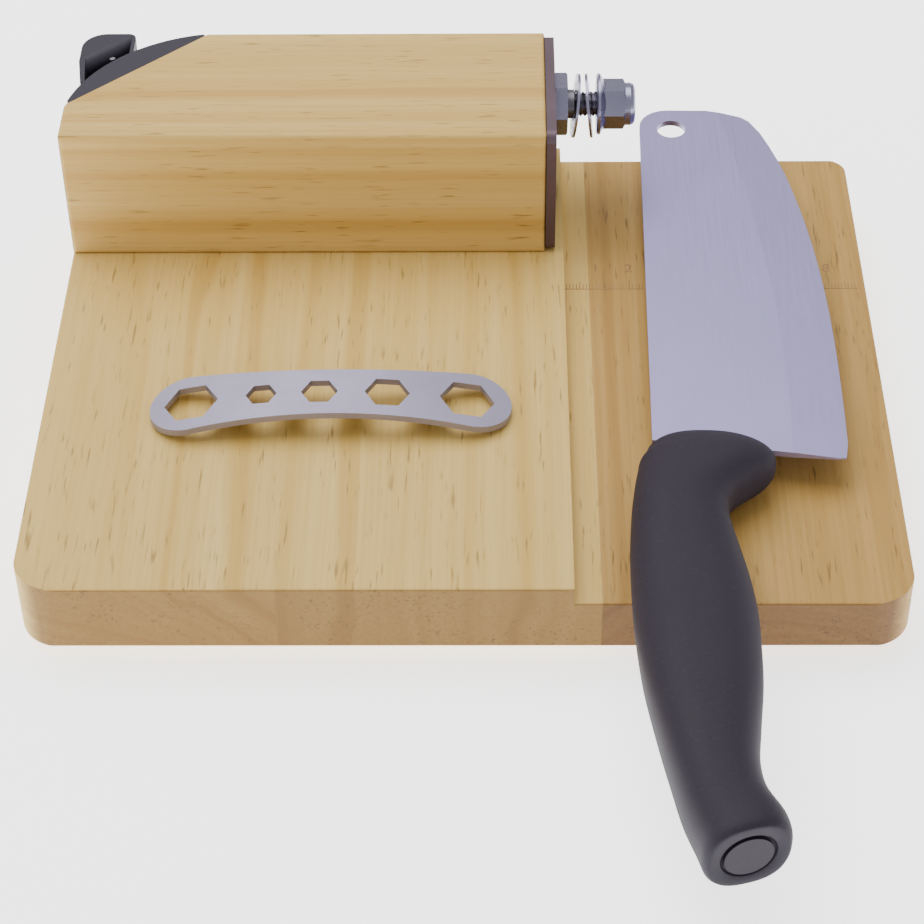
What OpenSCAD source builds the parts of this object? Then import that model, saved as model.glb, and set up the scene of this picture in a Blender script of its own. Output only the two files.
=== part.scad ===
// Board-mounted slicer for dried meat. A knife pivots on a stud beside a block, at the rear of an
// edge-glued board, and shears past a step in the deck. Here the knife is off its stud and lies
// on the board, with the spanner for its nut. A corner of the block carries a knife sharpener.
// Millimetres, +Z up, floor at z = 0. The origin lies under the middle of the whole footprint.

/* [Board] */
// Width of the board, left to right
board_w = 240; // [215:1:280]
// Depth of the board, front to rear
board_d = 198; // [180:1:230]
// Thickness of the raised deck on the left
deck_t = 21.8; // [18:0.1:30]
// Drop from the raised deck to the lower deck on the right
step_h = 5.3; // [3:0.1:8]
// Radius of the board's two front corners, seen from above
board_corner_r = 12; // [6:0.5:16]
// Radius of the board's two rear corners
board_rear_r = 7; // [4:0.5:16]
// Radius that eases the long edges of the board
board_edge_r = 0.8; // [0.4:0.1:2]
// Width of the left stave
stave_left_w = 70; // [50:1:90]
// Width of the middle stave's low strip, right of the step
low_strip_w = 7.5; // [4:0.1:20]

/* [Pivot block] */
// Length of the block, along the board's width
block_l = 143.6; // [125:0.2:148]
// Depth of the block, front to rear
block_d = 54.6; // [46:0.2:70]
// Height of the block above the raised deck
block_h = 43.4; // [38:0.2:60]
// Radius that eases the block's edges
block_edge_r = 1.2; // [0.6:0.1:2]
// Run of the cut-off corner along the block's rear
cut_x = 40.9; // [36:0.1:46]
// Run of the cut-off corner along the block's left end
cut_y = 38.7; // [34:0.1:44]

/* [Guide plate and pivot] */
// Thickness of the steel guide plate
plate_t = 2.9; // [2:0.1:4]
// Radius of the guide plate's corners
plate_corner_r = 3; // [1:0.5:6]
// Distance of the stud from the block's rear
stud_from_rear = 20; // [16:0.5:28]
// Distance of the stud below the block's top
stud_below_top = 13; // [11:0.1:18]
// Diameter over the stud's thread
stud_d = 7.8; // [5.8:0.1:9.8]
// Distance from the guide plate's face to the stud's end
stud_reach = 23.7; // [22:0.1:30]
// Depth to which the stud goes into the threaded insert
stud_grip = 18; // [12:1:30]
// Outer diameter of the threaded insert
insert_d = 12; // [11:0.5:16]
// Length of the threaded insert
insert_l = 22; // [16:1:34]
// Width across flats of the thin lock nut
lock_af = 16.4; // [15:0.1:20]
// Thickness of the thin lock nut
lock_t = 4; // [2.5:0.1:4.2]
// Outer diameter of the bush on which the blade turns
bush_d = 8.8; // [8.4:0.1:11]
// Length of the pivot bush
bush_l = 2; // [1.9:0.1:3]

/* [Washers and nut] */
// Outer diameter of the two loose washers
washer_d = 19.6; // [15:0.2:22]
// Bore of the two loose washers
washer_bore = 9.8; // [9:0.1:10.4]
// Thickness of a loose washer
washer_t = 0.8; // [0.5:0.1:1]
// Lean of a loose washer on the thread, in degrees
washer_lean = 6.2; // [2:0.1:7]
// Width across flats of the flange nut
nut_af = 13.2; // [11:0.1:15]
// Outer diameter of the nut's flange
nut_flange_d = 18.6; // [16:0.1:22]
// Height of the flange nut with its collar
nut_h = 11.7; // [10:0.1:13]
// Diameter of the nut's round collar
nut_collar_d = 13; // [11:0.1:13.1]

/* [Knife] */
// Thickness of the blade
blade_t = 1.8; // [1.4:0.1:2.4]
// Distance from the blade's eye to its heel
blade_l = 153.4; // [140:0.2:175]
// Distance from the eye to the tip end
blade_tip = 10.3; // [9:0.1:14]
// Distance from the eye to the spine
blade_spine = 10; // [8:0.1:14]
// Distance from the eye to the deepest point of the edge
blade_edge = 43.8; // [38:0.1:52]
// Diameter of the eye that goes over the bush
eye_d = 9; // [8.9:0.1:9.6]
// Width of the bevel ground along the edge
grind_w = 15; // [8:0.5:20]
// Radius of the long curve of the edge
edge_r = 740; // [600:10:1200]
// Length of the handle
handle_l = 144.8; // [130:0.2:165]
// Width that sets the size of the grip across the blade
handle_w = 32; // [28:0.5:36]
// Thickness of the handle
handle_t = 22; // [19:0.5:26]
// Diameter of the round plug in the butt
plug_d = 12.4; // [9:0.2:14]
// Distance from the eye to the right edge of the board
eye_from_right = 55.7; // [50:0.1:60]
// Distance that the eye lies behind the board's rear edge
eye_behind = 1; // [0:0.1:6]
// Turn of the lying knife, in degrees
knife_turn = 1.06; // [0:0.02:2]

/* [Spanner] */
// Length of the spanner, end to end
spanner_l = 102; // [92:1:112]
// Width of the spanner's round ends
spanner_end_w = 22.4; // [19:0.2:26]
// Width of the spanner at its waist
spanner_waist_w = 18.6; // [17:0.2:22]
// Thickness of the spanner's steel
spanner_t = 2; // [1.4:0.1:3]
// Rise of the spanner's arch
spanner_rise = 6.5; // [3:0.1:9]
// Distance of the spanner's middle from the board's front edge
spanner_from_front = 69.4; // [50:0.2:90]

/* [Sharpener] */
// Bulge of the sharpener's base out from the cut corner
base_bulge = 8.7; // [6:0.1:10]
// Height of the sharpener's base
base_h = 38; // [30:0.5:42]
// Height of the hood that stands in the cut corner
hood_h = 25; // [20:0.5:34]
// Depth of the throat between base and hood
throat_depth = 14; // [10:0.5:18]
// Distance of the throat's far wall from the block's cut face
throat_far = 13; // [12.6:0.1:15]
// Diameter of the two sharpening rods
rod_d = 1.7; // [1.5:0.1:2.4]

/* [Feet] */
// Height of a rubber foot
foot_h = 4; // [3:0.5:8]
// Diameter of a rubber foot
foot_d = 15; // [12:0.5:20]
// Distance of a foot's middle from the board's two edges
foot_inset = 20; // [16:0.5:26]

/* [Hidden] */
$fn = 64;

// Clearances
rest_gap = 0.3;
run_clearance = 0.08;
plate_lift = 0.4;
plate_inset = 0.4;
cut_over = 1;
step_past_plate = 2.6;

// Levels and edges of the board
deck_z = foot_h + deck_t;
low_z = deck_z - step_h;
left_x = -board_w / 2;
right_x = board_w / 2;

// The knife reaches past the board at both ends, and the origin halves the whole footprint
handle_start = blade_l - 6;
butt_reach = 0.07 * handle_w;
knife_front = handle_start + handle_l + butt_reach;
behind = eye_behind + blade_tip;
ahead = knife_front - board_d - eye_behind;
front_y = -(board_d + behind - ahead) / 2;
rear_y = front_y + board_d;

// Block, plate and the step that the blade shears past
block_right = left_x + block_l;
block_front = rear_y - block_d;
block_top = deck_z + block_h;
plate_face = block_right + plate_t;
step_x = plate_face + step_past_plate;
stave_1 = left_x + stave_left_w;
stave_2 = step_x + low_strip_w;

// The stud and what is threaded on it, measured from the plate's face
stud_y = rear_y - stud_from_rear;
stud_z = block_top - stud_below_top;
stud_start = block_right - stud_grip;
stud_end = plate_face + stud_reach;
stud_chamfer = 0.8;
bush_x = plate_face + lock_t;
bore_d = stud_d + 2 * run_clearance;
nut_face = stud_end + 0.8 - nut_h;
lean_reach = washer_d / 2 * sin(washer_lean) + washer_t / 2;
inner_washer_x = bush_x + bush_l + 0.5;
outer_washer_x = nut_face - 0.78 - lean_reach;
washer_drop = 0.62;
nut_flange_t = 1.7;
nut_collar_h = 3;
ring_d = 10.4;
ring_t = 2.2;
hex_turn = 25.5;

// Where the knife lies
eye_x = right_x - eye_from_right;
eye_y = rear_y + eye_behind;
handle_share = 0.935;
knife_z = low_z + rest_gap + handle_share * handle_t / 2;
tang_w = 12;
tang_l = 108;
tang_x = -7.5;
butt_slant = 16.6;
butt_x = 0.272 * handle_w;
butt_y = handle_start + handle_l - 0.4;
plug_depth = 6;
plug_groove = 0.9;

// Stations of the handle, front to butt: distance, offset across, half width, half thickness
// and slant, as shares of its length, width, width, thickness and the butt's slant
handle_stations = [
    [0, 0.11, 0.12, 0.25, 0], [0.006, 0.118, 0.27, 0.46, 0], [0.018, 0.128, 0.41, 0.63, 0],
    [0.034, 0.15, 0.505, 0.75, 0], [0.052, 0.168, 0.555, 0.83, 0], [0.072, 0.148, 0.58, 0.88, 0],
    [0.096, 0.108, 0.558, 0.9, 0], [0.126, 0.013, 0.485, 0.91, 0],
    [0.165, -0.076, 0.417, 0.92, 0], [0.21, -0.106, 0.406, 0.925, 0],
    [0.299, -0.081, 0.45, 0.93, 0], [0.374, -0.05, 0.482, 0.935, 0],
    [0.458, -0.023, 0.5, 0.96, 0], [0.541, -0.008, 0.492, 0.99, 0], [0.635, 0.01, 0.464, 1, 0.02],
    [0.739, 0.03, 0.4, 0.99, 0.15], [0.823, 0.058, 0.348, 0.985, 0.5],
    [0.896, 0.118, 0.336, 1, 0.95], [0.953, 0.225, 0.356, 1.02, 1], [0.984, 0.262, 0.35, 1, 1],
    [0.996, 0.272, 0.318, 0.92, 1]
];
handle_sides = 28;
handle_squareness = 2.5;

// Spanner: hexagon openings as distance from the middle and width across flats
spanner_from_left = 82;
spanner_x = left_x + spanner_from_left;
spanner_y = front_y + spanner_from_front;
spanner_turn = 0.8;
spanner_openings = [
    [-39.2, 13.3], [-19.3, 7.6], [-2.9, 9], [16.1, 11], [38.5, 13.4]
];
arch_r = (pow(spanner_l / 2, 2) + pow(spanner_rise, 2)) / (2 * spanner_rise);

// Sharpener: it sits on the cut corner, with its chord set in from the block's faces
cut_angle = atan(cut_y / cut_x);
cut_l = norm([cut_x, cut_y]);
chord_l = cut_l - 4.4;
base_blunt = 1.6;
base_r = (pow(chord_l / 2 + base_blunt, 2) + pow(base_bulge, 2)) / (2 * base_bulge);
hood_left = 1.9;
hood_right = 18;
hood_rear = 0.3;
hood_corner_r = 7.5;
hood_side_r = 2.5;
hood_wall_left = 1.9;
hood_wall_right = 1.2;
hood_rim_r = 3.6;
hood_taper = 1.6;
hood_depth = 26;
floor_z = block_top - throat_depth;
hood_bottom = block_top - hood_h;
rod_along = 25.8;
rod_lean = 8;
rod_l = 15;
rod_sink = 1.4;

// Screws: shank diameter and head diameter
long_screw = [4, 8];
mid_screw = [3.6, 7];
small_screw = [2.6, 5];
block_screw_l = 48;
block_screw_spots = [
    [left_x + 26, block_front + 14], [left_x + 62, rear_y - 16],
    [left_x + 92, block_front + 14], [block_right - 24, rear_y - 34]
];
plate_screw_l = 24;
plate_screw_spots = [
    [block_front + 9, deck_z + 10], [rear_y - 9, deck_z + 10], [block_front + 9, block_top - 9]
];
foot_screw_l = 13;
sharpener_screw_l = 22;
hood_screw_l = 14;
hood_screw_inset = 5;
hood_floor_t = 4;
foot_sink = 1.2;

// A rectangle with round corners, from the origin to [w, h]
module rounded_rect(w, h, r) {
    translate([r, 0]) square([w - 2 * r, h]);
    translate([0, r]) square([w, h - 2 * r]);
    for (x = [r, w - r], y = [r, h - r]) translate([x, y]) circle(r);
}

// A box with eased edges, from the origin to [w, d, h]
module eased_box(w, d, h, r) {
    intersection() {
        linear_extrude(h) rounded_rect(w, d, r);
        translate([0, d, 0]) rotate([90, 0, 0]) linear_extrude(d) rounded_rect(w, h, r);
        rotate([90, 0, 90]) linear_extrude(w) rounded_rect(d, h, r);
    }
}

// Plan of the board, from the origin
module board_plan() {
    r = board_corner_r;
    q = board_rear_r;
    translate([r, 0]) square([board_w - 2 * r, r]);
    translate([0, r]) square([board_w, board_d - r - q]);
    translate([q, board_d - q]) square([board_w - 2 * q, q]);
    for (x = [r, board_w - r]) translate([x, r]) circle(r);
    for (x = [q, board_w - q]) translate([x, board_d - q]) circle(q);
}

// A board with round corners and eased long edges
module eased_board(h) {
    intersection() {
        linear_extrude(h) board_plan();
        translate([0, board_d, 0]) rotate([90, 0, 0]) linear_extrude(board_d)
            rounded_rect(board_w, h, board_edge_r);
        rotate([90, 0, 90]) linear_extrude(board_w) rounded_rect(board_d, h, board_edge_r);
    }
}

// The part of the board between two X positions, at one height
module board_slice(x0, x1, h) {
    intersection() {
        translate([left_x, front_y, foot_h]) eased_board(h);
        translate([x0, front_y - cut_over, foot_h - cut_over])
            cube([x1 - x0, board_d + 2 * cut_over, h + 2 * cut_over]);
    }
}

// A countersunk screw along +Z, its head's flat face at z = 0
module screw(size, l) {
    head_h = (size[1] - size[0]) / 2;
    point_h = size[0] * 0.9;
    cylinder(head_h, d1 = size[1], d2 = size[0], $fn = 48);
    cylinder(l - point_h, d = size[0], $fn = 48);
    translate([0, 0, l - point_h]) cylinder(point_h, d1 = size[0], d2 = 0.4, $fn = 48);
}

module at_feet() {
    for (x = [left_x + foot_inset, right_x - foot_inset])
        for (y = [front_y + foot_inset, rear_y - foot_inset])
            translate([x, y, 0]) children();
}

module at_block_screws() {
    for (p = block_screw_spots) translate([p[0], p[1], foot_h]) children();
}

module at_plate_screws() {
    for (p = plate_screw_spots)
        translate([plate_face, p[0], p[1]]) rotate([0, -90, 0]) children();
}

// Along the stud's axis, from an X position
module on_stud(x) {
    translate([x, stud_y, stud_z]) rotate([0, 90, 0]) children();
}

// A hexagon bar whose corners are chamfered at one end or both, as on a nut
module nut_body(af, h, ends, chamfer) {
    corner_d = af / cos(30);
    bite = (corner_d - af) / 2 * chamfer;
    drop = bite * tan(30);
    foot = ends > 1 ? 1 : 0;
    intersection() {
        rotate([0, 0, hex_turn]) cylinder(h, d = corner_d, $fn = 6);
        rotate_extrude() polygon([
            [0, 0], [corner_d / 2 - foot * bite, 0], [corner_d / 2, foot * drop],
            [corner_d / 2, h - drop], [corner_d / 2 - bite, h], [0, h]
        ]);
    }
}

module board_stave_left() {
    color("burlywood") difference() {
        board_slice(left_x, stave_1, deck_t);
        at_block_screws() screw(long_screw, block_screw_l);
        at_feet() translate([0, 0, foot_sink]) screw(mid_screw, foot_screw_l);
    }
}

module board_stave_middle() {
    color("tan") difference() {
        union() {
            board_slice(stave_1, step_x, deck_t);
            board_slice(step_x, stave_2, deck_t - step_h);
        }
        at_block_screws() screw(long_screw, block_screw_l);
    }
}

module board_stave_right() {
    color("peru") difference() {
        board_slice(stave_2, right_x, deck_t - step_h);
        at_feet() translate([0, 0, foot_sink]) screw(mid_screw, foot_screw_l);
    }
}

module pivot_block() {
    color("burlywood") difference() {
        translate([left_x, block_front, deck_z])
            eased_box(block_l, block_d, block_h, block_edge_r);
        translate([left_x, rear_y, deck_z - cut_over])
            linear_extrude(block_h + 2 * cut_over)
                polygon([
                    [-cut_over, -cut_y - cut_over * cut_y / cut_x],
                    [cut_x + cut_over * cut_x / cut_y, cut_over], [-cut_over, cut_over]
                ]);
        on_stud(block_right - insert_l) cylinder(insert_l + cut_over, d = insert_d);
        at_block_screws() screw(long_screw, block_screw_l);
        at_plate_screws() screw(mid_screw, plate_screw_l);
        at_sharpener_screws() screw(mid_screw, sharpener_screw_l);
    }
}

module block_screws() {
    color("silver") at_block_screws() screw(long_screw, block_screw_l);
}

module guide_plate() {
    color("lightslategray") difference() {
        translate([block_right, block_front, deck_z + plate_lift])
            rotate([90, 0, 90]) linear_extrude(plate_t)
                rounded_rect(block_d - plate_inset, block_h - plate_lift - plate_inset,
                    plate_corner_r);
        on_stud(block_right - cut_over) cylinder(plate_t + 2 * cut_over, d = stud_d);
        at_plate_screws() screw(mid_screw, plate_screw_l);
    }
}

module plate_screws() {
    color("silver") at_plate_screws() screw(mid_screw, plate_screw_l);
}

module threaded_insert() {
    color("goldenrod") difference() {
        on_stud(block_right - insert_l) cylinder(insert_l, d = insert_d);
        on_stud(stud_start) cylinder(insert_l + cut_over, d = stud_d);
    }
}

module pivot_stud() {
    color("silver") {
        on_stud(stud_start) cylinder(stud_end - stud_start - stud_chamfer, d = stud_d);
        on_stud(stud_end - stud_chamfer)
            cylinder(stud_chamfer, d1 = stud_d, d2 = stud_d - 2 * stud_chamfer);
    }
}

module lock_nut() {
    color("silver") difference() {
        on_stud(plate_face) nut_body(lock_af, lock_t, 2, 0.45);
        on_stud(plate_face - cut_over) cylinder(lock_t + 2 * cut_over, d = stud_d);
    }
}

module pivot_bush() {
    color("gray") difference() {
        on_stud(bush_x) cylinder(bush_l, d = bush_d);
        on_stud(bush_x - cut_over) cylinder(bush_l + 2 * cut_over, d = bore_d);
    }
}

module washer_at(x, lean) {
    on_stud(x) translate([washer_drop, 0, 0]) rotate([0, lean, 0]) difference() {
        translate([0, 0, -washer_t / 2]) cylinder(washer_t, d = washer_d);
        translate([0, 0, -washer_t]) cylinder(2 * washer_t, d = washer_bore);
    }
}

module inner_washer() {
    color("gainsboro") washer_at(inner_washer_x, washer_lean);
}

module outer_washer() {
    color("gainsboro") washer_at(outer_washer_x, -washer_lean);
}

module flange_nut() {
    flange_r = nut_flange_d / 2;
    collar_r = nut_collar_d / 2;
    hex_top = nut_h - nut_collar_h;
    cone_top = 1.6 * nut_flange_t;
    color("silver") difference() {
        on_stud(nut_face) union() {
            translate([0, 0, nut_flange_t / 2])
                nut_body(nut_af, hex_top - nut_flange_t / 2, 1, 1);
            rotate_extrude() polygon([
                [0, 0], [flange_r - 0.4, 0], [flange_r, 0.4], [flange_r, 1.1],
                [nut_af / 2, cone_top], [0, cone_top]
            ]);
            translate([0, 0, hex_top - 1]) rotate_extrude() polygon([
                [0, 0], [collar_r, 0], [collar_r, nut_collar_h - 0.4],
                [collar_r - 0.4, nut_collar_h + 0.5], [collar_r - 1.2, nut_collar_h + 1],
                [0, nut_collar_h + 1]
            ]);
        }
        on_stud(nut_face - cut_over) cylinder(nut_h + 2 * cut_over, d = bore_d);
        on_stud(nut_face + nut_h - ring_t - 0.7)
            cylinder(ring_t + 2 * run_clearance, d = ring_d + 2 * run_clearance);
    }
}

module nylon_insert() {
    color("white") difference() {
        on_stud(nut_face + nut_h - ring_t - 0.7 + run_clearance) cylinder(ring_t, d = ring_d);
        on_stud(nut_face) cylinder(nut_h, d = bore_d);
    }
}

// The lying knife: local X runs from spine to edge, local Y from handle to tip, eye at the origin
module place_knife() {
    translate([eye_x, eye_y, knife_z]) rotate([0, 0, -knife_turn]) children();
}

// A point of the edge, which is a long curve that tightens towards the tip
function edge_point(y) = let (
    s = (y + blade_l - 22) / (blade_l - 22), near_tip = max(0, (y + 22) / 21)
) [blade_edge - 14.8 * pow(abs(s), 2.5) - 1.2 * pow(near_tip, 1.6), y];

module blade_outline() {
    r = 9;
    corner = [for (a = [180:-15:90]) [-blade_spine + r + r * cos(a), blade_tip - r + r * sin(a)]];
    edge = [for (i = [0:20]) edge_point(-1 - i * (blade_l - 7) / 20)];
    polygon(concat(
        corner,
        [[11.4, blade_tip], [16.5, blade_tip - 1.2], [22.4, blade_tip - 3.1],
         [24.9, blade_tip - 5.2], [25.9, blade_tip - 7.2]],
        edge,
        [[blade_edge - 0.9, -blade_l], [blade_edge - 3, -blade_l - 0.2],
         [-blade_spine, -blade_l + 5.8]]
    ));
}

module tang_outline() {
    translate([tang_x, -handle_start - tang_l]) square([tang_w, tang_l + 2]);
}

module knife_blade() {
    slab = blade_t / 2;
    color("lightsteelblue") place_knife() difference() {
        union() {
            intersection() {
                translate([0, 0, -slab]) linear_extrude(blade_t) blade_outline();
                translate([blade_edge - edge_r, -blade_l + 22, 0]) rotate([0, 0, -4])
                    rotate_extrude(angle = 18, $fn = 720) polygon([
                        [edge_r - 90, -slab], [edge_r - grind_w, -slab], [edge_r + 0.6, -0.15],
                        [edge_r + 0.6, 0.15], [edge_r - grind_w, slab], [edge_r - 90, slab]
                    ]);
            }
            translate([0, 0, -slab]) linear_extrude(blade_t) tang_outline();
        }
        translate([0, 0, -blade_t]) cylinder(2 * blade_t, d = eye_d);
    }
}

// Signed power, which squares the corners of an ellipse
function bent(v) = sign(v) * pow(abs(v), 2 / handle_squareness);

// A smooth value between four neighbouring stations
function smooth(p0, p1, p2, p3, t) = 0.5 * (2 * p1 + (p2 - p0) * t
    + (2 * p0 - 5 * p1 + 4 * p2 - p3) * t * t + (3 * p1 - p0 - 3 * p2 + p3) * t * t * t);

function station_at(i, t) = let (n = len(handle_stations) - 1)
    smooth(handle_stations[max(i - 1, 0)], handle_stations[i],
        handle_stations[min(i + 1, n)], handle_stations[min(i + 2, n)], t);

function handle_ring(s) = let (
    half = s[2] * handle_w, slant = s[4] * butt_slant, y = -handle_start - s[0] * handle_l
) [for (k = [0:handle_sides - 1]) let (a = 360 * k / handle_sides, across = half * bent(cos(a)))
    [s[1] * handle_w + across * cos(slant), y + across * sin(slant),
        s[3] * handle_t / 2 * bent(sin(a))]];

// A closed skin over a list of rings with the same number of points
module skin(rings) {
    n = len(rings[0]);
    last = (len(rings) - 1) * n;
    walls = [for (j = [0:len(rings) - 2], k = [0:n - 1])
        let (a = j * n + k, b = j * n + (k + 1) % n) each [[a, a + n, b], [b, a + n, b + n]]];
    polyhedron(
        [for (ring = rings) each ring],
        concat([[for (k = [0:n - 1]) k]], walls, [[for (k = [n - 1:-1:0]) last + k]])
    );
}

module handle_shape() {
    n = len(handle_stations) - 1;
    skin([for (i = [0:n - 1]) each [handle_ring(station_at(i, 0)), handle_ring(station_at(i, 0.5))],
        handle_ring(handle_stations[n])]);
}

// At the butt, pointing into the handle along +Z
module at_butt() {
    translate([butt_x, -butt_y, 0]) rotate([0, 0, butt_slant]) rotate([-90, 0, 0]) children();
}

module knife_handle() {
    color("dimgray") place_knife() difference() {
        handle_shape();
        translate([0, 0, -blade_t / 2]) linear_extrude(blade_t) {
            blade_outline();
            tang_outline();
        }
        at_butt() translate([0, 0, -cut_over]) cylinder(plug_depth + cut_over, d = plug_d);
        at_butt() translate([0, 0, -cut_over])
            cylinder(plug_groove + cut_over, d = plug_d + 2 * plug_groove);
    }
}

module handle_plug() {
    color("gray") place_knife() at_butt() cylinder(plug_depth, d = plug_d);
}

// The spanner's outline: round ends and sides that two large circles draw in to the waist
module spanner_outline() {
    r = spanner_end_w / 2;
    reach = spanner_l / 2 - r;
    slack = r - spanner_waist_w / 2;
    side_r = (reach * reach + slack * slack) / (2 * slack);
    difference() {
        union() {
            translate([-reach, -r]) square([2 * reach, 2 * r]);
            for (s = [-1, 1]) translate([s * reach, 0]) circle(r);
        }
        for (s = [-1, 1]) translate([0, s * (side_r + spanner_waist_w / 2)])
            circle(side_r, $fn = 720);
        for (p = spanner_openings) translate([p[0], 0]) circle(d = p[1] / cos(30), $fn = 6);
    }
}

module spanner() {
    color("lightsteelblue")
        translate([spanner_x, spanner_y, deck_z + rest_gap + spanner_rise - arch_r])
            rotate([0, 0, spanner_turn]) difference() {
                linear_extrude(arch_r + spanner_t + cut_over) spanner_outline();
                translate([0, spanner_end_w, 0]) rotate([90, 0, 0]) {
                    cylinder(2 * spanner_end_w, r = arch_r, $fn = 360);
                    difference() {
                        cylinder(2 * spanner_end_w, r = 2 * arch_r);
                        cylinder(2 * spanner_end_w, r = arch_r + spanner_t, $fn = 360);
                    }
                }
            }
}

// Frame of the cut face: local X runs along it to the rear, local Y points out of the block
module at_cut() {
    translate([left_x, rear_y - cut_y, 0]) rotate([0, 0, cut_angle])
        translate([(cut_l - chord_l) / 2, 0, 0]) children();
}

// Plan of the sharpener's base: its flat back lies on the cut face and its front bulges out
module base_plan() {
    intersection() {
        square([chord_l, base_bulge]);
        translate([chord_l / 2, base_bulge - base_r]) circle(base_r, $fn = 180);
    }
}

// Plan of the hood: the corner of the block that the cut took away, set in a little
module hood_plan() {
    w = hood_right - hood_left;
    difference() {
        translate([left_x + hood_left, rear_y - hood_rear]) mirror([0, 1]) {
            translate([hood_corner_r, 0]) square([w - hood_corner_r - hood_side_r, hood_depth]);
            polygon([
                [0, hood_corner_r], [w, hood_side_r], [w, hood_depth], [hood_taper, hood_depth],
                [0, 2 * hood_corner_r]
            ]);
            translate([hood_corner_r, hood_corner_r]) circle(hood_corner_r);
            translate([w - hood_side_r, hood_side_r]) circle(hood_side_r, $fn = 32);
        }
        at_cut_plan() translate([-10, -10]) square([chord_l + 20, 10]);
        at_cut_plan() base_plan();
    }
}

module at_cut_plan() {
    translate([left_x, rear_y - cut_y]) rotate(cut_angle)
        translate([(cut_l - chord_l) / 2, 0]) children();
}

// The stretch between the inner faces of the hood's two end walls
module between_walls() {
    translate([left_x, rear_y - hood_rear]) mirror([0, 1]) polygon([
        [hood_left + hood_wall_left, 0], [hood_right - hood_wall_right, 0],
        [hood_right - hood_wall_right, 40],
        [hood_left + hood_wall_left + hood_taper * 1.5, 40],
        [hood_left + hood_wall_left, 2 * hood_corner_r]
    ]);
}

// Plan of the throat between the base and the hood, closed by the hood's two end walls
module throat_plan() {
    difference() {
        intersection() {
            at_cut_plan() square([chord_l, throat_far]);
            between_walls();
        }
        at_cut_plan() base_plan();
    }
}

module at_rods() {
    for (s = [-1, 1])
        at_cut() translate([rod_along + s * rod_d * 0.6, (base_bulge + throat_far) / 2 - 0.2,
            block_top - rod_sink - rod_l / 2]) rotate([s * rod_lean, 0, 0])
            translate([0, 0, -rod_l / 2]) children();
}

module at_sharpener_screws() {
    for (x = [chord_l * 0.25, chord_l * 0.75])
        at_cut() translate([x, base_bulge * 0.55, block_top - base_h + 8]) rotate([90, 0, 0])
            children();
}

module at_hood_screws() {
    for (x = [hood_left + hood_screw_inset, hood_right - hood_screw_inset])
        translate([left_x + x, rear_y - hood_screw_inset - 0.5, hood_bottom - hood_floor_t])
            children();
}

module sharpener_base() {
    color("dimgray") difference() {
        union() {
            translate([0, 0, block_top - base_h]) linear_extrude(base_h) at_cut_plan() base_plan();
            translate([0, 0, hood_bottom - hood_floor_t]) linear_extrude(hood_floor_t) hood_plan();
            translate([0, 0, hood_bottom]) linear_extrude(floor_z - hood_bottom) throat_plan();
        }
        at_sharpener_screws() screw(mid_screw, sharpener_screw_l);
        at_sharpener_screws() translate([0, 0, -10]) cylinder(10.01, d = mid_screw[1]);
        at_hood_screws() screw(small_screw, hood_screw_l);
        at_rods() cylinder(rod_l, d = rod_d, $fn = 32);
    }
}

module sharpener_hood() {
    color("dimgray") difference() {
        translate([0, 0, hood_bottom]) linear_extrude(hood_h) hood_plan();
        translate([0, 0, hood_bottom - cut_over]) linear_extrude(hood_h + 2 * cut_over)
            throat_plan();
        hood_rim_cut();
        at_hood_screws() screw(small_screw, hood_screw_l);
    }
}

// What is taken off to round the hood's rim over the throat
module hood_rim_cut() {
    r = hood_rim_r;
    intersection() {
        translate([0, 0, block_top - r]) linear_extrude(2 * r) between_walls();
        at_cut() translate([0, throat_far, block_top - r]) difference() {
            translate([0, -cut_over, 0]) cube([chord_l, r + cut_over, 2 * r]);
            translate([-cut_over, r, 0]) rotate([0, 90, 0]) cylinder(chord_l + 2 * cut_over, r = r);
        }
    }
}

module sharpener_rods() {
    color("silver") at_rods() cylinder(rod_l, d = rod_d, $fn = 32);
}

module sharpener_screws() {
    color("silver") at_sharpener_screws() screw(mid_screw, sharpener_screw_l);
}

module hood_screws() {
    color("silver") at_hood_screws() screw(small_screw, hood_screw_l);
}

module rubber_feet() {
    color("black") difference() {
        at_feet() cylinder(foot_h, d1 = foot_d - 2, d2 = foot_d);
        at_feet() translate([0, 0, foot_sink]) screw(mid_screw, foot_screw_l);
        at_feet() translate([0, 0, -cut_over]) cylinder(foot_sink + cut_over, d = mid_screw[1]);
    }
}

module foot_screws() {
    color("silver") at_feet() translate([0, 0, foot_sink]) screw(mid_screw, foot_screw_l);
}

board_stave_left();
board_stave_middle();
board_stave_right();
pivot_block();
block_screws();
guide_plate();
plate_screws();
threaded_insert();
pivot_stud();
lock_nut();
pivot_bush();
inner_washer();
outer_washer();
flange_nut();
nylon_insert();
knife_blade();
knife_handle();
handle_plug();
spanner();
sharpener_base();
sharpener_hood();
sharpener_rods();
sharpener_screws();
hood_screws();
rubber_feet();
foot_screws();
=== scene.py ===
"""Looks of a board-mounted slicer for dried meat: finishes, fine detail, camera and light."""

import logging
import math
import random
from dataclasses import dataclass, field
from enum import Enum

import bmesh
import bpy
from mathutils import Matrix, Vector


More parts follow.
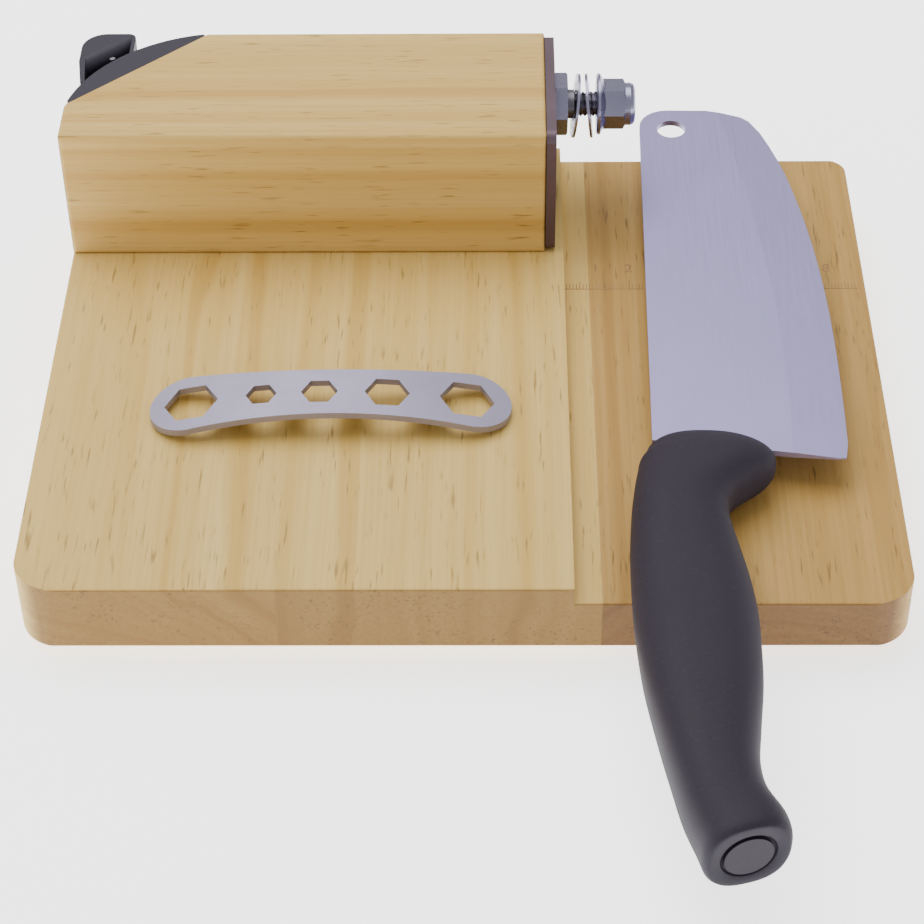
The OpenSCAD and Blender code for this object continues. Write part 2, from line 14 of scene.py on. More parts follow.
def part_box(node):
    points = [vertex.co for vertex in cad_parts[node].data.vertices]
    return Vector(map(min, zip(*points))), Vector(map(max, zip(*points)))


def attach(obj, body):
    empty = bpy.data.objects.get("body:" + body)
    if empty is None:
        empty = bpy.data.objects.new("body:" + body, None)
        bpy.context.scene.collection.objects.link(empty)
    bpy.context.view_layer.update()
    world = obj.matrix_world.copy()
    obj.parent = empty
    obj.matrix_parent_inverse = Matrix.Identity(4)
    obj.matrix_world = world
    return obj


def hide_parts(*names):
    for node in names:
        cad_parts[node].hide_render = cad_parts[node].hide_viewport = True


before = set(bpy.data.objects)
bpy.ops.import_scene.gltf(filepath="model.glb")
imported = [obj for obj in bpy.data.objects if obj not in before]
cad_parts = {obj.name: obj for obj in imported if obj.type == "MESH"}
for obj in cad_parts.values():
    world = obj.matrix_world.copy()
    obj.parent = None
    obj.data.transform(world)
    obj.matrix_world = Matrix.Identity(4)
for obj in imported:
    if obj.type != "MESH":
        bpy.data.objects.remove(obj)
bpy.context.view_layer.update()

LOG = logging.getLogger("slicer")
MM = 0.001
Socket = bpy.types.NodeSocket
Colour = tuple[float, float, float]


class Grain(Enum):
    """The axis that a piece of wood's grain runs along."""

    ACROSS = "X"
    DEPTH = "Y"


class Slot(Enum):
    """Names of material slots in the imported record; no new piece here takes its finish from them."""

    WOOD_DARK = "wood_dark"
    ZINC = "zinc_steel"
    SCREW = "screw_steel"
    HANDLE = "handle_plastic"


def srgb(red: int, green: int, blue: int) -> Colour:
    """Turns a given colour into linear values.

    Args:
        red: Red, 0 to 255.
        green: Green, 0 to 255.
        blue: Blue, 0 to 255.

    Returns:
        The linear colour.
    """
    out = []
    for value in (red, green, blue):
        c = value / 255
        out.append(c / 12.92 if c <= 0.04045 else ((c + 0.055) / 1.055) ** 2.4)
    return (out[0], out[1], out[2])


class Graph:
    """Builds one material's node tree."""

    def __init__(self, name: str) -> None:
        """Starts a material with a principled shader.

        Args:
            name: The material's name.
        """
        self.material = bpy.data.materials.new(name)
        self.material.use_nodes = True
        self.tree = self.material.node_tree
        self.shader = self.tree.nodes["Principled BSDF"]
        self.position = self.tree.nodes.new("ShaderNodeTexCoord").outputs["Object"]

    def put(self, target: Socket, value: object) -> None:
        """Links a socket, or sets a plain value, on an input."""
        if isinstance(value, bpy.types.NodeSocket):
            self.tree.links.new(value, target)
        elif isinstance(value, tuple) and len(value) == 3 and target.type == "RGBA":
            target.default_value = (*value, 1.0)
        else:
            target.default_value = value

    def set(self, **values: object) -> None:
        """Sets the shader's inputs by name, with underscores for spaces."""
        for name, value in values.items():
            self.put(self.shader.inputs[name.replace("_", " ")], value)

    def math(self, operation: str, first: object, second: object = 0.0) -> Socket:
        """Adds a math node.

        Args:
            operation: Blender's name of the operation.
            first: First value or socket.
            second: Second value or socket.

        Returns:
            The result socket.
        """
        node = self.tree.nodes.new("ShaderNodeMath")
        node.operation = operation
        self.put(node.inputs[0], first)
        self.put(node.inputs[1], second)
        return node.outputs[0]

    def scaled(self, scale: Colour, shift: Colour = (0.0, 0.0, 0.0)) -> Socket:
        """Scales the object position.

        Args:
            scale: Factor on each axis, in cells per metre.
            shift: Offset added after the scale.

        Returns:
            The vector socket.
        """
        node = self.tree.nodes.new("ShaderNodeMapping")
        self.put(node.inputs["Vector"], self.position)
        node.inputs["Scale"].default_value = scale
        node.inputs["Location"].default_value = shift
        return node.outputs[0]

    def axes(self, vector: Socket) -> tuple[Socket, Socket, Socket]:
        """Splits a vector into its three parts."""
        node = self.tree.nodes.new("ShaderNodeSeparateXYZ")
        self.put(node.inputs[0], vector)
        return node.outputs[0], node.outputs[1], node.outputs[2]

    def noise(self, vector: Socket, scale: float, detail: float = 3.0, rough: float = 0.5) -> Socket:
        """Adds 3D noise.

        Args:
            vector: Where it is read.
            scale: Cells per unit.
            detail: Octaves.
            rough: Weight of the finer octaves.

        Returns:
            The factor socket.
        """
        node = self.tree.nodes.new("ShaderNodeTexNoise")
        self.put(node.inputs["Vector"], vector)
        node.inputs["Scale"].default_value = scale
        node.inputs["Detail"].default_value = detail
        node.inputs["Roughness"].default_value = rough
        return node.outputs["Fac"]

    def line_noise(self, place: Socket, scale: float, detail: float) -> Socket:
        """Adds noise that depends on one number, for rings of uneven width.

        Args:
            place: The number.
            scale: Cells per unit.
            detail: Octaves.

        Returns:
            The factor socket.
        """
        node = self.tree.nodes.new("ShaderNodeTexNoise")
        node.noise_dimensions = "1D"
        self.put(node.inputs["W"], place)
        node.inputs["Scale"].default_value = scale
        node.inputs["Detail"].default_value = detail
        return node.outputs["Fac"]

    def ramp(self, value: Socket, stops: list[tuple[float, Colour]]) -> Socket:
        """Adds a colour ramp.

        Args:
            value: The number that it reads.
            stops: Places from 0 to 1 and their colours.

        Returns:
            The colour socket.
        """
        node = self.tree.nodes.new("ShaderNodeValToRGB")
        self.put(node.inputs[0], value)
        band = node.color_ramp
        while len(band.elements) < len(stops):
            band.elements.new(0.5)
        for element, (place, colour) in zip(band.elements, stops):
            element.position = place
            element.color = (*colour, 1.0)
        return node.outputs[0]

    def grey(self, value: Socket, low: float, high: float, a: float = 0.0, b: float = 1.0) -> Socket:
        """Maps a stretch of a number to another, clamped.

        Args:
            value: The number.
            low: Where the stretch starts.
            high: Where it ends.
            a: Result at its start.
            b: Result at its end.

        Returns:
            The result socket.
        """
        node = self.tree.nodes.new("ShaderNodeMapRange")
        self.put(node.inputs["Value"], value)
        for name, number in zip(("From Min", "From Max", "To Min", "To Max"), (low, high, a, b)):
            node.inputs[name].default_value = number
        return node.outputs[0]

    def mix(self, factor: object, first: object, second: object, mode: str = "MIX") -> Socket:
        """Mixes two colours.

        Args:
            factor: Share of the second.
            first: First colour or socket.
            second: Second colour or socket.
            mode: Blend mode.

        Returns:
            The colour socket.
        """
        node = self.tree.nodes.new("ShaderNodeMix")
        node.data_type = "RGBA"
        node.blend_type = mode
        self.put(node.inputs["Factor"], factor)
        self.put(node.inputs[6], first)
        self.put(node.inputs[7], second)
        return node.outputs[2]

    def bump(self, height: Socket, strength: float, depth_mm: float) -> None:
        """Adds a bump to the shader, after any that it already has.

        Args:
            height: The height from 0 to 1.
            strength: Share of the effect.
            depth_mm: Height of a full step in millimetres.
        """
        node = self.tree.nodes.new("ShaderNodeBump")
        node.inputs["Strength"].default_value = strength
        node.inputs["Distance"].default_value = depth_mm * MM
        self.put(node.inputs["Height"], height)
        target = self.shader.inputs["Normal"]
        if target.is_linked:
            self.put(node.inputs["Normal"], target.links[0].from_socket)
        self.put(target, node.outputs[0])


@dataclass(frozen=True)
class WoodFinish:
    """Oiled plain wood with rings round a pith, fibres, pores and broad darker streaks."""

    name: str
    light: Colour
    mid: Colour
    dark: Colour
    grain: Grain = Grain.DEPTH
    pith: tuple[float, float] = (0.0, -0.04)
    ring_scale: float = 190.0
    streaks: tuple[tuple[float, float], ...] = ()
    streak_span: tuple[float, float] = (-0.12, 0.12)
    end_tint: Colour = (0.38, 0.31, 0.21)
    seed: float = 0.0

    def build(self) -> bpy.types.Material:
        """Makes the material.

        Returns:
            The material.
        """
        g = Graph(self.name)
        along_y = self.grain is Grain.DEPTH
        slow, fast = 5.0, 38.0
        stretch = (fast, slow, fast) if along_y else (slow, fast, fast)
        wander = g.noise(g.scaled(stretch, (self.seed, 3.1, 7.7)), 1.0, 2.0)
        x, y, z = g.axes(g.position)
        across = x if along_y else y
        offset = g.math("SUBTRACT", wander, 0.5)
        drift = g.math("MULTIPLY", offset, 0.012)
        side = g.math("ADD", g.math("SUBTRACT", across, self.pith[0]), drift)
        up = g.math("ADD", g.math("SUBTRACT", z, self.pith[1]), drift)
        squared = g.math("ADD", g.math("MULTIPLY", side, side), g.math("MULTIPLY", up, up))
        ring = g.line_noise(g.math("SQRT", squared), self.ring_scale, 3.0)
        colour = g.ramp(ring, [(0.24, self.dark), (0.44, self.mid), (0.7, self.light)])
        fibre_scale = (900.0, 14.0, 900.0) if along_y else (14.0, 900.0, 900.0)
        fibre = g.noise(g.scaled(fibre_scale, (1.3, self.seed, 0.4)), 1.0, 3.0, 0.6)
        colour = g.mix(g.grey(fibre, 0.35, 0.75, 0.0, 0.5), colour, self.dark)
        broad = g.noise(g.scaled(tuple(s * 0.42 for s in stretch), (2.0, self.seed, 5.0)), 1.0, 2.0)
        colour = g.mix(g.grey(broad, 0.35, 0.7, 0.0, 0.3), colour, self.mid)
        if self.streaks:
            low, high = self.streak_span
            place = g.grey(g.math("ADD", across, drift), low, high)
            stops = [(p, (s, s, s)) for p, s in self.streaks]
            shade = g.ramp(place, stops)
            tone = g.mix(0.5, self.dark, self.mid)
            colour = g.mix(shade, colour, tone)
        pore_scale = (1100.0, 95.0, 1100.0) if along_y else (95.0, 1100.0, 1100.0)
        pores = g.noise(g.scaled(pore_scale, (self.seed, 9.0, 2.0)), 1.0, 1.0)
        patches = g.noise(g.scaled((70.0, 70.0, 70.0), (self.seed, 0.0, 0.0)), 1.0, 1.0)
        pore = g.math("MULTIPLY", g.grey(pores, 0.62, 0.74), g.grey(patches, 0.36, 0.6))
        pore_tone = tuple(c * 0.5 for c in self.dark)
        colour = g.mix(g.math("MULTIPLY", pore, 0.75), colour, pore_tone)
        normal = g.tree.nodes.new("ShaderNodeTexCoord").outputs["Normal"]
        nx, ny, _ = g.axes(normal)
        facing = g.math("ABSOLUTE", ny if along_y else nx)
        end = g.grey(facing, 0.55, 0.9)
        colour = g.mix(end, colour, g.mix(1.0, colour, self.end_tint, "MULTIPLY"))
        g.set(Base_Color=colour, Specular_IOR_Level=0.35)
        g.set(Roughness=g.grey(fibre, 0.3, 0.8, 0.5, 0.66))
        g.bump(fibre, 0.25, 0.05)
        g.bump(pore, 0.3, -0.08)
        return g.material


@dataclass(frozen=True)
class SteelFinish:
    """Metal with fine lines along one axis and faint clouding."""

    name: str
    colour: Colour
    rough: float = 0.34
    lines: Colour = (60.0, 2200.0, 2200.0)
    metal: float = 1.0
    line_depth: float = 0.12
    cloud: float = 0.1

    def build(self) -> bpy.types.Material:
        """Makes the material.

        Returns:
            The material.
        """
        g = Graph(self.name)
        line = g.noise(g.scaled(self.lines), 1.0, 2.0, 0.6)
        cloud = g.noise(g.scaled((45.0, 45.0, 45.0), (4.0, 1.0, 2.0)), 1.0, 3.0)
        darker = tuple(c * (1 - self.cloud * 2.2) for c in self.colour)
        colour = g.mix(g.grey(cloud, 0.35, 0.7), self.colour, darker)
        colour = g.mix(g.grey(line, 0.3, 0.75, 0.0, 0.25), colour, darker)
        g.set(Base_Color=colour, Metallic=self.metal)
        rough = g.math("ADD", g.grey(line, 0.3, 0.7, -0.05, 0.07), self.rough)
        g.set(Roughness=g.math("ADD", rough, g.grey(cloud, 0.3, 0.7, -0.03, 0.05)))
        g.bump(line, self.line_depth, 0.012)
        return g.material


@dataclass(frozen=True)
class PlasticFinish:
    """Moulded plastic with a fine spark-eroded texture, pale specks and slight rub marks."""

    name: str
    colour: Colour
    speck: Colour
    rough: float = 0.52
    speck_share: float = 0.25
    texture: float = 1500.0

    def build(self) -> bpy.types.Material:
        """Makes the material.

        Returns:
            The material.
        """
        g = Graph(self.name)
        fine = g.noise(g.position, self.texture, 2.0, 0.6)
        dots = g.noise(g.scaled((900.0, 900.0, 900.0), (7.0, 3.0, 1.0)), 1.0, 0.0)
        cloud = g.noise(g.scaled((30.0, 18.0, 30.0), (0.0, 4.0, 0.0)), 1.0, 3.0)
        colour = g.mix(g.grey(cloud, 0.3, 0.7, 0.0, 0.35), self.colour, self.speck)
        colour = g.mix(g.grey(dots, 0.62, 0.74, 0.0, self.speck_share), colour, self.speck)
        g.set(Base_Color=colour, Specular_IOR_Level=0.3)
        g.set(Roughness=g.grey(cloud, 0.3, 0.7, self.rough - 0.06, self.rough + 0.06))
        g.bump(fine, 0.3, 0.04)
        return g.material


@dataclass(frozen=True)
class InkFinish:
    """A burnt or printed mark that has sunk unevenly into the surface."""

    name: str
    colour: Colour
    faded: Colour

    def build(self) -> bpy.types.Material:
        """Makes the material.

        Returns:
            The material.
        """
        g = Graph(self.name)
        wear = g.noise(g.scaled((600.0, 90.0, 600.0)), 1.0, 3.0)
        g.set(Base_Color=g.mix(g.grey(wear, 0.35, 0.65), self.colour, self.faded), Roughness=0.7)
        return g.material


def dress(node: str, material: bpy.types.Material) -> None:
    """Gives a CAD node its material.

    Args:
        node: The node's name.
        material: What it gets.
    """
    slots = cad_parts[node].data.materials
    slots.clear()
    slots.append(material)
    LOG.info("%s dressed in %s", node, material.name)


def piece(name: str, mesh: bmesh.types.BMesh, material: bpy.types.Material, body: str,
          smooth: bool = False) -> bpy.types.Object:
    """Turns mesh data into a named piece that rides on a body.

    Args:
        name: The piece's name.
        mesh: Its mesh data, freed here.
        material: Its finish.
        body: The body that it rides on.
        smooth: Whether its faces are shaded smooth.

    Returns:
        The new object.
    """
    bmesh.ops.recalc_face_normals(mesh, faces=mesh.faces)
    data = bpy.data.meshes.new(name)
    for f in mesh.faces:
        f.smooth = smooth
    mesh.to_mesh(data)
    mesh.free()
    made = bpy.data.objects.new(name, data)
    data.materials.append(material)
    bpy.context.scene.collection.objects.link(made)
    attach(made, body)
    LOG.info("%s made with %d faces", name, len(data.polygons))
    return made


def add_box(mesh: bmesh.types.BMesh, low: Vector, high: Vector) -> None:
    """Adds a box between two corners, for a tick of a scale."""
    size, middle = high - low, (low + high) / 2
    matrix = Matrix.Translation(middle) @ Matrix.Diagonal((*size, 1.0))
    bmesh.ops.create_cube(mesh, size=1.0, matrix=matrix)


def add_rings(mesh: bmesh.types.BMesh, rings: list[list[Vector]], caps: bool = True) -> None:
    """Adds a closed skin over rings of points.

    Args:
        mesh: Where it goes.
        rings: Rings with the same number of points each.
        caps: Whether the two ends are closed.
    """
    rows = [[mesh.verts.new(p) for p in ring] for ring in rings]
    count = len(rows[0])
    for a, b in zip(rows, rows[1:]):
        for k in range(count):
            n = (k + 1) % count
            mesh.faces.new((a[k], a[n], b[n], b[k]))
    if caps:
        mesh.faces.new(rows[0])
        mesh.faces.new(rows[-1][::-1])


@dataclass
class Board:
    """The three staves of the board and the printed ruler on its lower deck."""

    ruler_start: float = 0.0289
    ruler_end: float = 0.1185
    tick_front: float = 0.0755
    tick_long: float = 0.0044
    tick_width: float = 0.00022
    number_y: float = 0.0852
    number_height: float = 0.004
    ink_height: float = 0.00004
    light: Colour = field(default_factory=lambda: srgb(219, 187, 111))
    mid: Colour = field(default_factory=lambda: srgb(211, 177, 97))
    dark: Colour = field(default_factory=lambda: srgb(194, 155, 73))

    def dress(self) -> None:
        """Gives each stave its own rings."""
        left = WoodFinish("stave_left", self.light, self.mid, self.dark, pith=(-0.112, -0.03),
            streak_span=(-0.12, -0.05), seed=2.0,
            streaks=((0.0, 0.0), (0.24, 0.1), (0.33, 0.55), (0.42, 0.1), (0.62, 0.1), (0.68, 0.5),
                     (0.76, 0.1), (0.9, 0.1), (0.95, 0.45), (1.0, 0.2)))
        middle = WoodFinish("stave_middle", self.light, self.mid, self.dark, pith=(0.19, 0.01),
            seed=11.0, end_tint=(0.35, 0.285, 0.19), ring_scale=150.0)
        tone = (srgb(191, 153, 83), srgb(180, 140, 69), srgb(160, 119, 50))
        right = WoodFinish("stave_right", *tone, pith=(0.085, -0.03), seed=5.0,
            end_tint=(0.33, 0.26, 0.165))
        for node, finish in (("board_stave_left", left), ("board_stave_middle", middle),
                             ("board_stave_right", right)):
            dress(node, finish.build())

    def ruler(self) -> None:
        """Prints the ticks and numbers of the ruler on the lower deck."""
        ink = InkFinish("ruler_ink", srgb(138, 100, 58), srgb(168, 130, 80)).build()
        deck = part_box("board_stave_right")[1].z
        mesh = bmesh.new()
        for k in range(int((self.ruler_end - self.ruler_start) / MM) + 1):
            x = self.ruler_start + k * MM
            share = 1.0 if k % 10 == 0 else (0.75 if k % 5 == 0 else 0.5)
            half = self.tick_width / 2
            add_box(mesh, Vector((x - half, self.tick_front, deck)),
                Vector((x + half, self.tick_front + self.tick_long * share, deck + self.ink_height)))
        add_box(mesh, Vector((self.ruler_start, self.tick_front - 0.0003, deck)),
            Vector((self.ruler_end, self.tick_front, deck + self.ink_height)))
        piece("ruler_ticks", mesh, ink, "slicer")
        for k in range(1, 9):
            curve = bpy.data.curves.new(f"ruler_number_{k}", "FONT")
            curve.body = str(k)
            curve.size = self.number_height * 1.35
            curve.align_x = curve.align_y = "CENTER"
            curve.extrude = self.ink_height / 2
            made = bpy.data.objects.new(curve.name, curve)
            bpy.context.scene.collection.objects.link(made)
            place = Vector((self.ruler_start + k * 10 * MM, self.number_y, deck + self.ink_height / 2))
            made.matrix_world = Matrix.Translation(place)
            curve.materials.append(ink)
            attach(made, "slicer")
        LOG.info("ruler numbers made")


@dataclass
class PivotBlock:
    """The wooden block with its guide plate and the screws that hold them."""

    light: Colour = field(default_factory=lambda: srgb(217, 184, 108))
    mid: Colour = field(default_factory=lambda: srgb(208, 172, 93))
    dark: Colour = field(default_factory=lambda: srgb(188, 146, 68))
    recess_reach: float = 0.0019
    recess_half: float = 0.00045
    recess_depth: float = 0.00003

    def dress(self) -> None:
        """Dresses the block, the plate, the insert and the hidden screws."""
        block = WoodFinish("block_wood", self.light, self.mid, self.dark, grain=Grain.ACROSS,
            pith=(0.15, -0.02), streak_span=(0.0865, 0.1411), seed=8.0, ring_scale=170.0,
            streaks=((0.0, 0.3), (0.12, 0.05), (0.3, 0.0), (0.6, 0.05), (0.7, 0.5), (0.85, 0.45),
                     (0.93, 0.1), (1.0, 0.0)))
        dress("pivot_block", block.build())
        plate = SteelFinish("guide_plate_steel", srgb(98, 82, 90), 0.5, (2000.0, 2000.0, 50.0),
            metal=0.75)
        dress("guide_plate", plate.build())
        screws = SteelFinish("screw_steel_finish", srgb(178, 178, 184), 0.36).build()
        for node in ("block_screws", "plate_screws", "foot_screws", "sharpener_screws",
                     "hood_screws"):
            dress(node, screws)
        dress("threaded_insert", SteelFinish("insert_brass", srgb(198, 164, 92), 0.34).build())

    def recesses(self) -> None:
        """Paints the shade inside each plate screw's cross recess as thin dark bars on its head."""
        # Painted shade: these dark bars sit on the screw face in place of the hollow cross recess, whose
        # darkness is shade, not a darker steel.
        dark = SteelFinish("painted_recess_shade", srgb(58, 56, 60), 0.6).build()
        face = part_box("plate_screws")[1].x
        centres = [(0.09547, 0.0358), (0.13207, 0.0358), (0.09547, 0.0602)]
        mesh = bmesh.new()
        for y, z in centres:
            for a, b in ((self.recess_reach, self.recess_half), (self.recess_half, self.recess_reach)):
                add_box(mesh, Vector((face, y - a, z - b)),
                    Vector((face + self.recess_depth, y + a, z + b)))
        piece("plate_screw_recess_shade", mesh, dark, "slicer")


@dataclass
class Pivot:
    """The stud with its thread, bush, washers and nuts."""

    pitch: float = 0.00125
    depth: float = 0.0006
    chamfer: float = 0.0008
    rows_per_turn: int = 12
    sides: int = 48

    def dress(self) -> None:
        """Dresses the metal of the pivot."""
        zinc = SteelFinish("zinc_plating", srgb(150, 148, 172), 0.25, (900.0, 900.0, 900.0),
            line_depth=0.05, cloud=0.12)
        plating = zinc.build()
        for node in ("lock_nut", "inner_washer", "outer_washer", "flange_nut"):
            dress(node, plating)
        shaft = SteelFinish("stud_steel", srgb(120, 116, 126), 0.4, (2500.0, 80.0, 80.0)).build()
        dress("pivot_stud", shaft)
        dress("pivot_bush", SteelFinish("bush_steel_finish", srgb(118, 116, 124), 0.42).build())
        dress("nylon_insert", PlasticFinish("nylon_ring", srgb(222, 222, 216),
            srgb(236, 236, 232), 0.45).build())

    def thread(self) -> None:
        """Turns the stud with its real thread, from the guide plate to its end."""
        steel = SteelFinish("thread_steel", srgb(150, 146, 158), 0.3, (900.0, 900.0, 900.0)).build()
        low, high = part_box("pivot_stud")
        centre = (low + high) / 2
        crest = (high.y - low.y) / 2
        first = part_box("guide_plate")[1].x
        plain = [low.x, first]
        count = int((high.x - first) / self.pitch * self.rows_per_turn)
        places = plain + [first + (high.x - first) * i / count for i in range(1, count + 1)]
        rings = []
        for x in places:
            rim = crest - max(0.0, x - (high.x - self.chamfer))
            ring = []
            for k in range(self.sides):
                angle = 2 * math.pi * k / self.sides
                phase = (x / self.pitch - k / self.sides) % 1.0
                cut = 0.0 if x in plain else self.depth * min(1.0, 2.2 * min(phase, 1.0 - phase))
                radius = min(rim, crest - cut)
                ring.append(Vector((x, centre.y + radius * math.cos(angle),
                    centre.z + radius * math.sin(angle))))
            rings.append(ring)
        mesh = bmesh.new()
        add_rings(mesh, rings)
        made = piece("stud_threaded", mesh, steel, "slicer")
        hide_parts("pivot_stud")


@dataclass
class Knife:
    """The lying knife: satin blade, smooth moulded handle and its round plug."""

    eye: Vector = field(default_factory=lambda: Vector((0.0643, 0.14207, 0.031085)))
    turn: float = 1.06
    start: float = 0.1474
    length: float = 0.1448
    width: float = 0.032
    thick: float = 0.022
    slant: float = 16.6
    squareness: float = 2.5
    sides: int = 72
    between: int = 6
    plug_radius: float = 0.0062
    groove: float = 0.0009
    stations: tuple[tuple[float, ...], ...] = (
        (0, 0.11, 0.12, 0.25, 0), (0.006, 0.118, 0.27, 0.46, 0), (0.018, 0.128, 0.41, 0.63, 0),
        (0.034, 0.15, 0.505, 0.75, 0), (0.052, 0.168, 0.555, 0.83, 0),
        (0.072, 0.148, 0.58, 0.88, 0), (0.096, 0.108, 0.558, 0.9, 0),
        (0.126, 0.013, 0.485, 0.91, 0), (0.165, -0.076, 0.417, 0.92, 0),
        (0.21, -0.106, 0.406, 0.925, 0), (0.299, -0.081, 0.45, 0.93, 0),
        (0.374, -0.05, 0.482, 0.935, 0), (0.458, -0.023, 0.5, 0.96, 0),
        (0.541, -0.008, 0.492, 0.99, 0), (0.635, 0.01, 0.464, 1, 0.02),
        (0.739, 0.03, 0.4, 0.99, 0.15), (0.823, 0.058, 0.348, 0.985, 0.5),
        (0.896, 0.118, 0.336, 1, 0.95), (0.953, 0.225, 0.356, 1.02, 1),
        (0.984, 0.262, 0.35, 1, 1), (0.996, 0.272, 0.318, 0.92, 1))

    def bent(self, value: float) -> float:
        """Squares the corners of an ellipse."""
        return math.copysign(abs(value) ** (2 / self.squareness), value)

    def station(self, index: int, share: float) -> list[float]:
        """Reads a smooth station between two of the table.

        Args:
            index: The station before it.
            share: How far it is towards the next, 0 to 1.

        Returns:
            The station's five numbers.
        """
        last = len(self.stations) - 1
        p = [self.stations[min(max(index + k, 0), last)] for k in (-1, 0, 1, 2)]
        t = share
        return [0.5 * (2 * b + (c - a) * t + (2 * a - 5 * b + 4 * c - d) * t * t
            + (3 * b - a - 3 * c + d) * t ** 3) for a, b, c, d in zip(*p)]

    def ring(self, s: list[float], shrink: float = 1.0) -> list[Vector]:
        """Lays out one ring of the handle, in the row frame.

        Args:
            s: The station's numbers.
            shrink: Factor on the ring's size.

        Returns:
            The ring's points.
        """
        slant = math.radians(s[4] * self.slant)
        points = []
        for k in range(self.sides):
            a = 2 * math.pi * k / self.sides
            across = s[2] * self.width * shrink * self.bent(math.cos(a))
            local = Vector((s[1] * self.width + across * math.cos(slant),
                -self.start - s[0] * self.length + across * math.sin(slant),
                s[3] * self.thick / 2 * shrink * self.bent(math.sin(a))))
            points.append(self.place() @ local)
        return points

    def place(self) -> Matrix:
        """Gives the matrix from the knife's own frame to the row frame."""
        return Matrix.Translation(self.eye) @ Matrix.Rotation(math.radians(-self.turn), 4, "Z")

    def handle(self) -> None:
        """Moulds the handle as one smooth skin, with the groove round the plug."""
        plastic = PlasticFinish("handle_moulding", srgb(31, 25, 37), srgb(46, 39, 55), 0.66).build()
        rings = []
        last = len(self.stations) - 1
        for i in range(last):
            rings += [self.ring(self.station(i, k / self.between)) for k in range(self.between)]
        end = list(self.stations[last])
        rings.append(self.ring(end))
        rings.append(self.ring(end, 0.93))
        rings += self.butt(end)
        mesh = bmesh.new()
        add_rings(mesh, rings)
        made = piece("handle_skin", mesh, plastic, "knife", smooth=True)
        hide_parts("knife_handle")

    def butt(self, end: list[float]) -> list[list[Vector]]:
        """Lays the rings of the groove round the plug.

        Args:
            end: The last station's numbers.

        Returns:
            Rings from the groove's rim to its floor.
        """
        slant = math.radians(self.slant)
        centre = Vector((end[1] * self.width, -self.start - end[0] * self.length, 0.0))
        side = Vector((math.cos(slant), math.sin(slant), 0.0))
        inward = Vector((-math.sin(slant), math.cos(slant), 0.0))
        rows = []
        outer = self.plug_radius + self.groove
        for radius, depth in ((outer + 0.0002, 0.0), (outer, 0.0003), (outer, self.groove),
                              (self.plug_radius * 0.98, self.groove)):
            row = []
            for k in range(self.sides):
                a = 2 * math.pi * k / self.sides
                point = centre + side * (radius * math.cos(a)) + inward * depth
                row.append(self.place() @ (point + Vector((0, 0, radius * math.sin(a)))))
            rows.append(row)
        return rows

    def dress(self) -> None:
        """Dresses the blade and the plug."""
        blade = SteelFinish("blade_satin", srgb(160, 153, 194), 0.42, (2400.0, 40.0, 2400.0),
            line_depth=0.08, cloud=0.03, metal=0.85)
        dress("knife_blade", blade.build())
        dress("handle_plug", PlasticFinish("plug_moulding", srgb(29, 24, 34),
            srgb(44, 38, 52), 0.6).build())


@dataclass
class Accessories:
    """The spanner, the sharpener and the rubber feet."""

    def dress(self) -> None:
        """Dresses each of them."""
        steel = SteelFinish("spanner_satin", srgb(160, 156, 178), 0.42, (60.0, 2200.0, 2200.0),
            cloud=0.06, metal=0.7)
        dress("spanner", steel.build())
        moulding = PlasticFinish("sharpener_moulding", srgb(40, 36, 46), srgb(56, 50, 64), 0.5)
        plastic = moulding.build()
        for node in ("sharpener_base", "sharpener_hood"):
            dress(node, plastic)
        dress("sharpener_rods", SteelFinish("rod_ground", srgb(196, 196, 204), 0.25,
            (2500.0, 2500.0, 60.0)).build())
        dress("rubber_feet", PlasticFinish("foot_rubber", srgb(34, 33, 34), srgb(50, 49, 50),
            0.75, texture=2600.0).build())


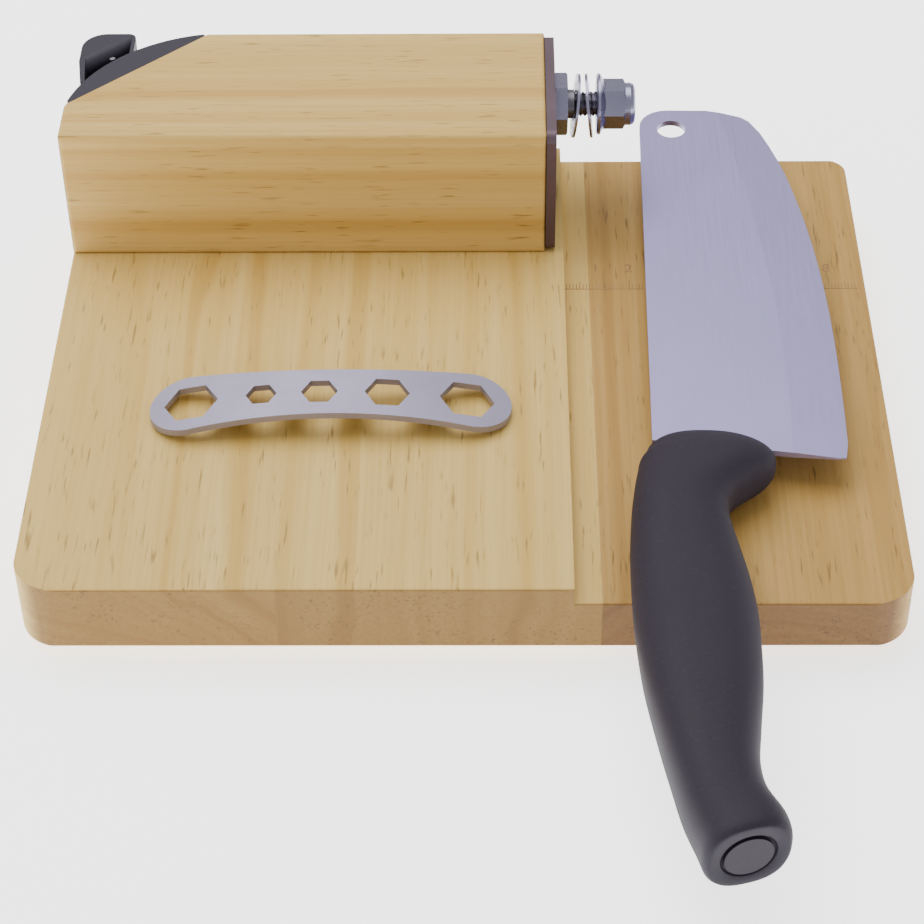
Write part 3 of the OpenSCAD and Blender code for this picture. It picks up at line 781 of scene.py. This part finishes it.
@dataclass
class Studio:
    """Floor, soft light and the camera."""

    camera_place: Vector = field(default_factory=lambda: Vector((0.008638, -0.527103, 0.50281)))
    pitch: float = 42.545
    yaw: float = -1.047
    roll: float = -0.803
    lens: float = 99.40
    floor_size: float = 8.0
    floor_tone: float = 0.97
    floor_glow: float = 2.0

    def floor(self) -> None:
        """Lays the pale floor."""
        mesh = bmesh.new()
        bmesh.ops.create_grid(mesh, x_segments=2, y_segments=2, size=self.floor_size / 2)
        data = bpy.data.meshes.new("floor")
        mesh.to_mesh(data)
        mesh.free()
        made = bpy.data.objects.new("floor", data)
        bpy.context.scene.collection.objects.link(made)
        g = Graph("floor_paper")
        tone = self.floor_tone
        haze = g.noise(g.scaled((2.0, 2.0, 2.0)), 1.0, 1.0)
        g.set(Base_Color=g.mix(haze, (tone, tone, tone), (tone + 0.01, tone + 0.01, tone + 0.01)),
            Roughness=0.9, Specular_IOR_Level=0.0)
        g.set(Emission_Color=(1.0, 1.0, 1.0), Emission_Strength=self.floor_glow)
        data.materials.append(g.material)

    def light(self) -> None:
        """Sets a bright surround and two large soft lamps."""
        world = bpy.data.worlds.new("surround")
        bpy.context.scene.world = world
        world.use_nodes = True
        back = world.node_tree.nodes["Background"]
        back.inputs["Color"].default_value = (0.99, 0.98, 1.0, 1.0)
        back.inputs["Strength"].default_value = 0.8
        lamps = (("lamp_over", (-0.25, 0.45, 1.3), 1.4, 20.0), ("lamp_left", (-1.2, -0.1, 0.9), 0.9, 4.0))
        for name, place, size, power in lamps:
            data = bpy.data.lights.new(name, "AREA")
            data.shape, data.size, data.energy = "DISK", size, power
            lamp = bpy.data.objects.new(name, data)
            lamp.location = place
            aim = Vector((0.0, 0.03, 0.03)) - Vector(place)
            lamp.rotation_mode = "QUATERNION"
            lamp.rotation_quaternion = aim.to_track_quat("-Z", "Y")
            bpy.context.scene.collection.objects.link(lamp)

    def camera(self) -> None:
        """Places the camera as the photograph's."""
        pitch, yaw, roll = (math.radians(a) for a in (self.pitch, self.yaw, self.roll))
        ahead = Vector((math.sin(yaw) * math.cos(pitch), math.cos(yaw) * math.cos(pitch),
            -math.sin(pitch)))
        right = Vector((math.cos(yaw), -math.sin(yaw), 0.0))
        up = right.cross(ahead)
        tilted_right = right * math.cos(roll) + up * math.sin(roll)
        tilted_up = up * math.cos(roll) - right * math.sin(roll)
        data = bpy.data.cameras.new("camera")
        data.lens, data.sensor_width = self.lens, 36.0
        data.clip_start, data.clip_end = 0.01, 20.0
        made = bpy.data.objects.new("camera", data)
        basis = Matrix((tilted_right, tilted_up, -ahead)).transposed()
        made.matrix_world = Matrix.Translation(self.camera_place) @ basis.to_4x4()
        bpy.context.scene.collection.objects.link(made)
        bpy.context.scene.camera = made


def main() -> None:
    """Builds and dresses every sub-assembly."""
    logging.basicConfig(level=logging.INFO, format="%(name)s: %(message)s")
    random.seed(7)
    studio = Studio()
    studio.camera()
    studio.floor()
    studio.light()
    board = Board()
    board.dress()
    board.ruler()
    block = PivotBlock()
    block.dress()
    block.recesses()
    pivot = Pivot()
    pivot.dress()
    pivot.thread()
    knife = Knife()
    knife.dress()
    knife.handle()
    Accessories().dress()


if __name__ == "__main__":
    main()
